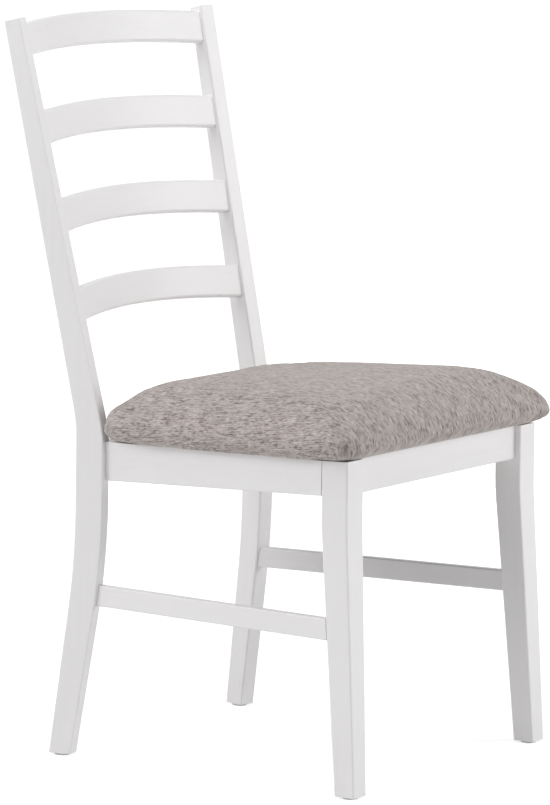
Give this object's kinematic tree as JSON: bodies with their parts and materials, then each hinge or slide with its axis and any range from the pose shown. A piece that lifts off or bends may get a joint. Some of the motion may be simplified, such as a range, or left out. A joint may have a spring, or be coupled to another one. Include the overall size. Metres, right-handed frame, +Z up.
{
  "type": "ladderback dining chair",
  "caption": "Ladderback dining chair: painted wooden frame with bowed back slats, raked flat posts, tapered front legs, side stretchers and an upholstered seat pad.",
  "frame": {"origin": "on the floor at the centre of the bounding box", "axes": "+Z up, the sitter faces -Y, +X is the sitter's left"},
  "size_m": [0.5114, 0.5838, 0.9598],
  "materials": {
    "painted_wood": "satin white paint over hardwood",
    "upholstery": "woven grey-beige chenille",
    "foam": "upholstery foam, open-celled",
    "lining": "black non-woven dust cloth",
    "plywood": "sanded birch plywood",
    "bare_wood": "bare sanded beech",
    "steel": "zinc-plated",
    "nylon": "moulded nylon"
  },
  "bodies": {
    "root": {"back_corner_block_left": "bare_wood", "back_corner_block_right": "bare_wood", "back_glide_left": "nylon", "back_glide_right": "nylon", "back_post_left": "painted_wood", "back_post_right": "painted_wood", "back_rail": "painted_wood", "back_rail_dowels": "bare_wood", "bottom_slat": "painted_wood", "corner_block_screws": "steel", "front_corner_block_left": "bare_wood", "front_corner_block_right": "bare_wood", "front_glide_left": "nylon", "front_glide_right": "nylon", "front_leg_left": "painted_wood", "front_leg_right": "painted_wood", "front_rail": "painted_wood", "front_rail_dowels": "bare_wood", "lower_slat": "painted_wood", "seat_board": "plywood", "seat_cover": "upholstery", "seat_foam": "foam", "seat_lining": "lining", "seat_screws": "steel", "side_rail_dowels_left": "bare_wood", "side_rail_dowels_right": "bare_wood", "side_rail_left": "painted_wood", "side_rail_right": "painted_wood", "side_stretcher_left": "painted_wood", "side_stretcher_right": "painted_wood", "top_slat": "painted_wood", "upper_slat": "painted_wood"}
  },
  "joints": []
}
